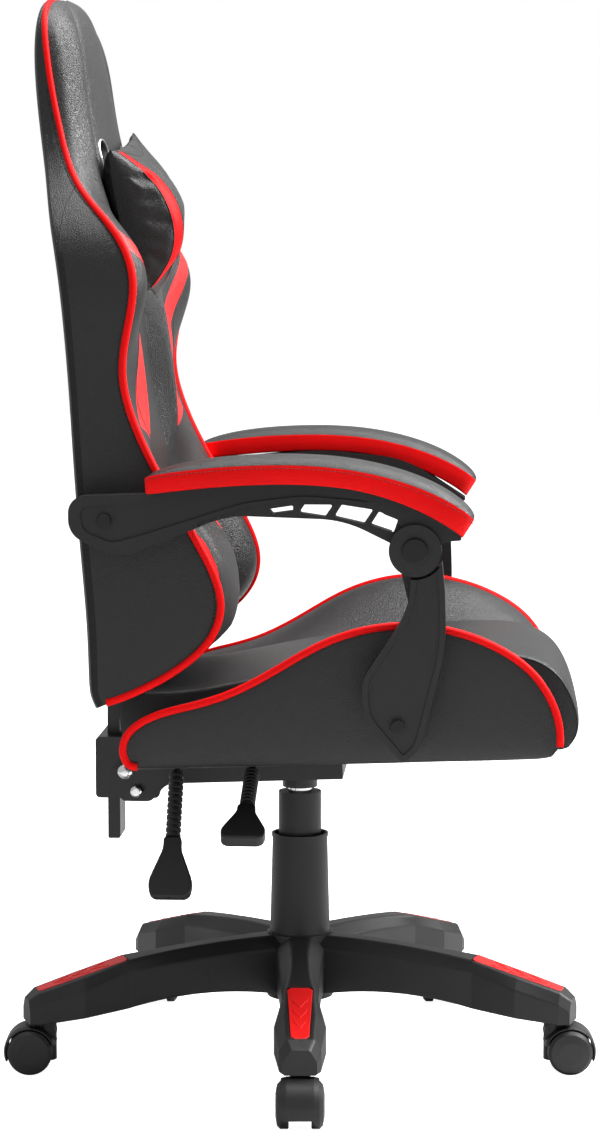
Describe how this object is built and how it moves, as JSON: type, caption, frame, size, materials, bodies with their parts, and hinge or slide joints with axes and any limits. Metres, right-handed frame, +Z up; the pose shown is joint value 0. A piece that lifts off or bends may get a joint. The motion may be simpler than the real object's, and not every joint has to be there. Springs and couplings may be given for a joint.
{
  "type": "gaming chair",
  "caption": "Reclining bucket-seat gaming chair with linked swing armrests, headrest pillow, lumbar cushion, gas lift and a star base on casters.",
  "frame": {"origin": "on the floor under the axis of the gas column", "axes": "+Z up, the chair faces -Y, the sitter's right is -X"},
  "size_m": [0.6657, 0.6661, 1.2002],
  "materials": {
    "nylon": "satin",
    "red_plastic": "gloss",
    "black_steel": "satin",
    "pale_plastic": "matte",
    "steel": "satin",
    "chrome": "polished",
    "rubber": "matte",
    "cap_plastic": "satin",
    "plywood": "matte",
    "black_leather": "satin",
    "webbing": "matte",
    "arm_plastic": "satin",
    "wheel_plastic": "satin"
  },
  "bodies": {
    "base": {"star_base": "nylon", "base_inserts": "red_plastic", "column_tube": "black_steel", "column_bush": "pale_plastic", "piston_rod": "steel", "thrust_bearing": "steel", "lower_dust_cover": "nylon"},
    "lift": {"upper_dust_cover": "nylon"},
    "seat": {"gas_cylinder": "chrome", "mechanism_frame": "black_steel", "mechanism_bolts": "steel", "hinge_bolt": "chrome", "seat_frame": "plywood", "seat_cushion": "black_leather", "seat_bolster_right": "black_leather", "seat_bolster_left": "black_leather", "link_bolts": "cap_plastic"},
    "lift_button": {"lift_button": "steel"},
    "lift_lever": {"lift_lever_rod": "black_steel", "lift_lever_sleeve": "rubber", "lift_lever_paddle": "nylon"},
    "lock_lever": {"lock_lever_rod": "black_steel", "lock_lever_sleeve": "rubber", "lock_lever_paddle": "nylon"},
    "backrest": {"back_bracket": "black_steel", "back_post": "black_steel", "lock_bolt": "chrome", "back_frame": "plywood", "backrest_cushion": "black_leather", "backrest_wing_right": "black_leather", "backrest_wing_left": "black_leather", "harness_bezels": "nylon", "arm_bolts": "cap_plastic"},
    "lumbar": {"lumbar_cushion": "black_leather"},
    "pillow": {"headrest_pillow": "black_leather", "headrest_strap": "webbing"},
    "arm_right": {"arm_frame_right": "arm_plastic", "arm_pad_right": "black_leather"},
    "arm_left": {"arm_frame_left": "arm_plastic", "arm_pad_left": "black_leather"},
    "link_right": {"arm_link_right": "arm_plastic", "front_pin_right": "cap_plastic"},
    "link_left": {"arm_link_left": "arm_plastic", "front_pin_left": "cap_plastic"},
    "caster_1": {"caster_1_hood": "nylon", "caster_1_stem": "steel"},
    "wheels_1": {"caster_1_wheels": "wheel_plastic"},
    "caster_2": {"caster_2_hood": "nylon", "caster_2_stem": "steel"},
    "wheels_2": {"caster_2_wheels": "wheel_plastic"},
    "caster_3": {"caster_3_hood": "nylon", "caster_3_stem": "steel"},
    "wheels_3": {"caster_3_wheels": "wheel_plastic"},
    "caster_4": {"caster_4_hood": "nylon", "caster_4_stem": "steel"},
    "wheels_4": {"caster_4_wheels": "wheel_plastic"},
    "caster_5": {"caster_5_hood": "nylon", "caster_5_stem": "steel"},
    "wheels_5": {"caster_5_wheels": "wheel_plastic"}
  },
  "joints": [
    {"name": "gas_lift", "type": "slide", "parent": "base", "child": "lift", "axis": [0, 0, 1], "range_m": [0, 0.08]},
    {"name": "seat_swivel", "type": "hinge", "parent": "lift", "child": "seat", "pos_m": [0, 0, 0.3], "axis": [0, 0, 1], "continuous": true},
    {"name": "recline", "type": "hinge", "parent": "seat", "child": "backrest", "pos_m": [0, 0.195, 0.333], "axis": [-1, 0, 0], "range_deg": [0, 18]},
    {"name": "armrest_right", "type": "hinge", "parent": "backrest", "child": "arm_right", "pos_m": [0, 0.188, 0.637], "axis": [-1, 0, 0], "range_deg": [-19, 1]},
    {"name": "link_right", "type": "hinge", "parent": "seat", "child": "link_right", "pos_m": [0, -0.12, 0.422], "axis": [-1, 0, 0], "range_deg": [-1, 30]},
    {"name": "armrest_left", "type": "hinge", "parent": "backrest", "child": "arm_left", "pos_m": [0, 0.188, 0.637], "axis": [-1, 0, 0], "range_deg": [-19, 1]},
    {"name": "link_left", "type": "hinge", "parent": "seat", "child": "link_left", "pos_m": [0, -0.12, 0.422], "axis": [-1, 0, 0], "range_deg": [-1, 30]},
    {"name": "lift_lever_tip", "type": "hinge", "parent": "seat", "child": "lift_lever", "pos_m": [-0.04975, 0.045, 0.352], "axis": [0, 1, 0], "range_deg": [0, 5.5], "stiffness_Nm_per_rad": 2},
    {"name": "lift_button_press", "type": "slide", "parent": "seat", "child": "lift_button", "axis": [0, 0, -1], "range_m": [0, 0.0056]},
    {"name": "lock_lever_tip", "type": "hinge", "parent": "seat", "child": "lock_lever", "pos_m": [-0.04975, 0.13, 0.352], "axis": [0, 1, 0], "range_deg": [0, 10]},
    {"name": "lumbar_slide", "type": "slide", "parent": "backrest", "child": "lumbar", "axis": [0, 0.0451, 0.999], "range_m": [0, 0.04]},
    {"name": "pillow_slide", "type": "slide", "parent": "backrest", "child": "pillow", "axis": [0, 0.1512, 0.9885], "range_m": [-0.018, 0.018]},
    {"name": "caster_1_swivel", "type": "hinge", "parent": "base", "child": "caster_1", "pos_m": [-0.29941, -0.01884, 0.06], "axis": [0, 0, 1], "continuous": true},
    {"name": "caster_1_roll", "type": "hinge", "parent": "caster_1", "child": "wheels_1", "pos_m": [-0.31737, -0.01997, 0.025], "axis": [0.0628, -0.998, 0], "continuous": true},
    {"name": "caster_2_swivel", "type": "hinge", "parent": "base", "child": "caster_2", "pos_m": [-0.07461, -0.29058, 0.06], "axis": [0, 0, 1], "continuous": true},
    {"name": "caster_2_roll", "type": "hinge", "parent": "caster_2", "child": "wheels_2", "pos_m": [-0.07348, -0.30854, 0.025], "axis": [0.998, 0.0628, 0], "continuous": true},
    {"name": "caster_3_swivel", "type": "hinge", "parent": "base", "child": "caster_3", "pos_m": [0.2533, -0.16075, 0.06], "axis": [0, 0, 1], "continuous": true},
    {"name": "caster_3_roll", "type": "hinge", "parent": "caster_3", "child": "wheels_3", "pos_m": [0.23533, -0.16188, 0.025], "axis": [0.0628, -0.998, 0], "continuous": true},
    {"name": "caster_4_swivel", "type": "hinge", "parent": "base", "child": "caster_4", "pos_m": [0.23115, 0.19123, 0.06], "axis": [0, 0, 1], "continuous": true},
    {"name": "caster_4_roll", "type": "hinge", "parent": "caster_4", "child": "wheels_4", "pos_m": [0.21319, 0.1901, 0.025], "axis": [0.0628, -0.998, 0], "continuous": true},
    {"name": "caster_5_swivel", "type": "hinge", "parent": "base", "child": "caster_5", "pos_m": [-0.11044, 0.27893, 0.06], "axis": [0, 0, 1], "continuous": true},
    {"name": "caster_5_roll", "type": "hinge", "parent": "caster_5", "child": "wheels_5", "pos_m": [-0.11157, 0.2969, 0.025], "axis": [-0.998, -0.0628, 0], "continuous": true}
  ],
  "couplings": [
    {"joint": "armrest_right", "follows": "recline", "ratio": -1.01},
    {"joint": "link_right", "follows": "recline", "ratio": 1.638},
    {"joint": "armrest_left", "follows": "recline", "ratio": -1.01},
    {"joint": "link_left", "follows": "recline", "ratio": 1.638},
    {"joint": "lift_button_press", "follows": "lift_lever_tip", "m_per_rad": 0.0555}
  ]
}
